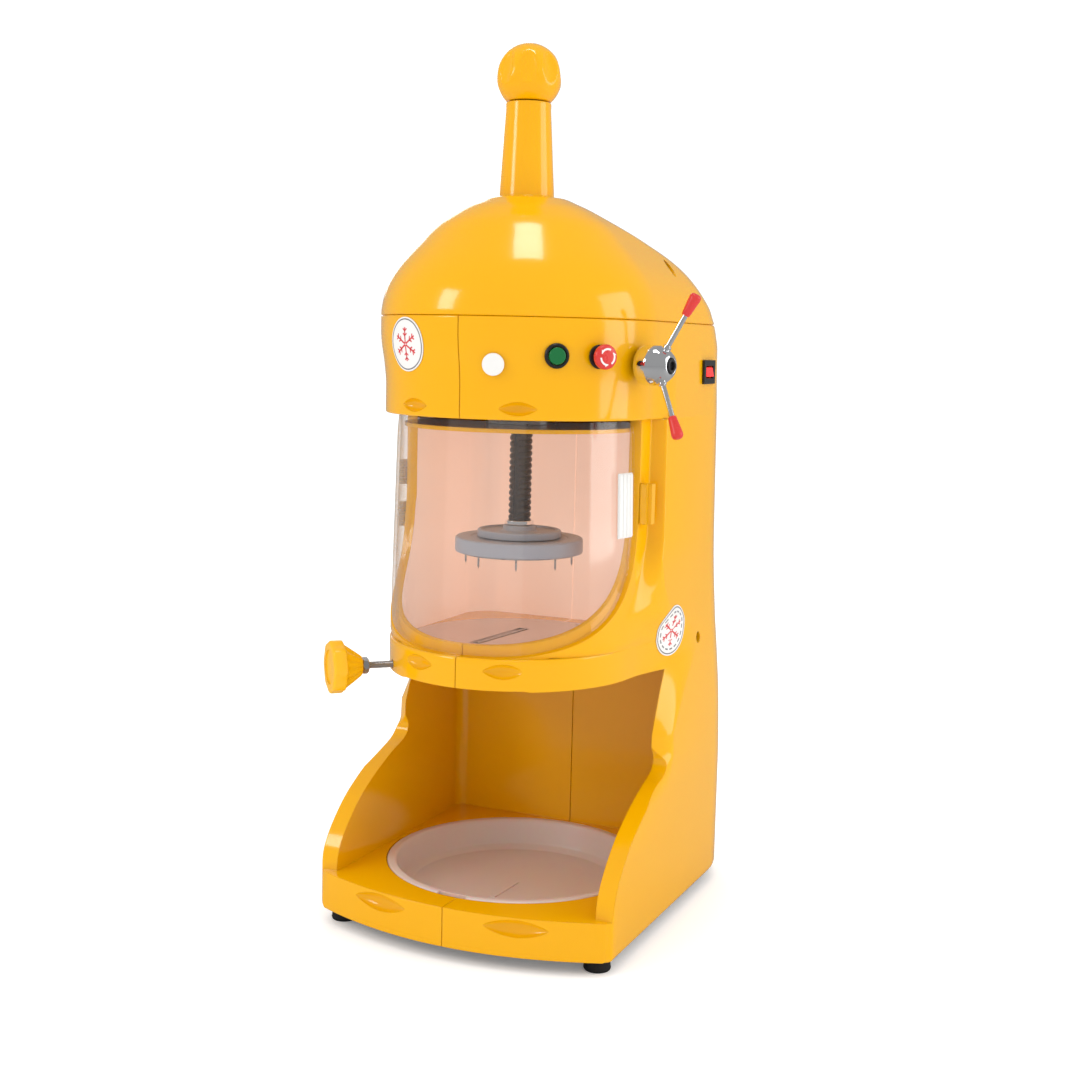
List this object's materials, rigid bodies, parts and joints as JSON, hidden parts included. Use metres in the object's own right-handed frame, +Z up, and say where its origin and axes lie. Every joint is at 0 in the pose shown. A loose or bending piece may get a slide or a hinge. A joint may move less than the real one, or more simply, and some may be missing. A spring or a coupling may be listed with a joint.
{
  "type": "shaved ice machine",
  "caption": "Upright electric ice shaver with a domed yellow body, clear swing cover, screw-fed ice press, side crank, control buttons, blade adjuster and a round drip tray.",
  "frame": {"origin": "centre of the overall bounding box, at floor level", "axes": "+X to the viewer's right when facing the front, +Y to the back, +Z up"},
  "size_m": [0.3564, 0.4312, 0.88],
  "materials": {
    "body_yellow": "glossy golden yellow",
    "knob_yellow": "satin golden yellow",
    "black_plastic": "satin black",
    "black_rubber": "matt black",
    "blackened_steel": "blackened, oiled",
    "steel": "satin",
    "chrome": "polished",
    "bronze": "machined",
    "grey_plastic": "satin grey",
    "red_plastic": "glossy red",
    "lit_red": "translucent red, lit",
    "green_plastic": "glossy green",
    "white_plastic": "glossy white",
    "clear_acrylic": "clear",
    "frosted_tray": "translucent, softly frosted",
    "motor_grey": "satin grey paint",
    "badge": "printed label"
  },
  "bodies": {
    "machine": {"shell_left": "body_yellow", "shell_right": "body_yellow", "hood": "body_yellow", "screw_sleeve": "body_yellow", "ball_knob": "body_yellow", "base_plate": "steel", "foot_front_left": "black_rubber", "foot_front_right": "black_rubber", "foot_rear_left": "black_rubber", "foot_rear_right": "black_rubber", "blade_plate": "steel", "cover_hinge_upper": "steel", "cover_hinge_lower": "steel", "latch_block": "body_yellow", "cover_switch": "black_plastic", "ceiling_plate": "body_yellow", "spindle_bearing": "steel", "crank_escutcheon": "black_plastic", "motor": "motor_grey", "drive_belt": "black_rubber", "motor_bracket": "steel", "start_bezel": "black_plastic", "stop_collar": "black_plastic", "indicator_cap": "white_plastic", "rocker_frame": "black_plastic", "front_badge": "badge", "side_badge": "badge", "capacitor": "motor_grey", "power_inlet": "black_plastic"},
    "tray": {"drip_tray": "frosted_tray"},
    "cover": {"clear_cover": "clear_acrylic", "cover_grip": "white_plastic"},
    "spindle": {"drive_pulley": "steel"},
    "press": {"lead_screw": "blackened_steel", "screw_collar": "steel", "disc_hub": "grey_plastic", "press_disc": "grey_plastic", "spike_plate": "steel"},
    "feed": {"feed_gear": "bronze"},
    "crank": {"crank_shaft": "steel", "bevel_pinion": "steel", "crank_hub": "chrome", "crank_cap": "black_plastic", "crank_arm_upper": "chrome", "crank_arm_lower": "chrome", "crank_grip_upper": "red_plastic", "crank_grip_lower": "red_plastic"},
    "rotor": {"motor_shaft": "steel", "motor_pulley": "steel"},
    "start": {"start_button": "green_plastic"},
    "stop": {"stop_button": "red_plastic"},
    "power": {"rocker": "lit_red"},
    "adjuster": {"adjust_knob": "knob_yellow", "adjust_nut": "steel", "adjust_screw": "steel"},
    "knife": {"blade_carriage": "steel", "blade": "steel", "blade_clamp": "steel", "blade_screw_front": "blackened_steel", "blade_screw_rear": "blackened_steel"}
  },
  "joints": [
    {"name": "tray_lift", "type": "slide", "parent": "machine", "child": "tray", "axis": [0, 0, 1], "range_m": [0, 0.06]},
    {"name": "cover_swing", "type": "hinge", "parent": "machine", "child": "cover", "pos_m": [-0.15285, -0.06237, 0.4], "axis": [0, 0, -1], "range_deg": [0, 80]},
    {"name": "spindle_spin", "type": "hinge", "parent": "machine", "child": "spindle", "pos_m": [-0.01825, -0.05887, 0.533], "axis": [0, 0, 1], "continuous": true},
    {"name": "press_feed", "type": "slide", "parent": "spindle", "child": "press", "axis": [0, 0, 1], "range_m": [-0.072, 0.086]},
    {"name": "feed_spin", "type": "hinge", "parent": "machine", "child": "feed", "pos_m": [-0.01825, -0.05887, 0.56], "axis": [0, 0, 1], "range_deg": [-4260, 5088.3]},
    {"name": "crank_turn", "type": "hinge", "parent": "machine", "child": "crank", "pos_m": [0.1383, -0.09645, 0.571], "axis": [0.9724, -0.2334, 0], "range_deg": [-11946, 14269]},
    {"name": "rotor_spin", "type": "hinge", "parent": "machine", "child": "rotor", "pos_m": [-0.01825, 0.14713, 0.533], "axis": [0, 0, 1], "continuous": true},
    {"name": "start_press", "type": "slide", "parent": "machine", "child": "start", "axis": [-0.6115, 0.7912, 0], "range_m": [0, 0.003], "stiffness_N_per_m": 300, "springref_m": -0.001},
    {"name": "stop_press", "type": "slide", "parent": "machine", "child": "stop", "axis": [-0.8192, 0.5736, 0], "range_m": [0, 0.004], "stiffness_N_per_m": 400, "springref_m": -0.001},
    {"name": "power_rock", "type": "hinge", "parent": "machine", "child": "power", "pos_m": [0.12175, 0.09513, 0.5635], "axis": [0, 1, 0], "range_deg": [0, 10]},
    {"name": "adjust_turn", "type": "hinge", "parent": "machine", "child": "adjuster", "pos_m": [-0.13846, -0.17908, 0.2685], "axis": [-0.7071, -0.7071, 0], "range_deg": [-540, 180]},
    {"name": "blade_lift", "type": "slide", "parent": "machine", "child": "knife", "axis": [0, 0, 1], "range_m": [-0.00144, 0.00048]}
  ],
  "couplings": [
    {"joint": "crank_turn", "follows": "press_feed", "rad_per_m": 2895.5},
    {"joint": "feed_spin", "follows": "press_feed", "rad_per_m": 1013.4},
    {"joint": "rotor_spin", "follows": "spindle_spin", "ratio": 4.1111},
    {"joint": "adjust_turn", "follows": "blade_lift", "rad_per_m": 6545}
  ]
}
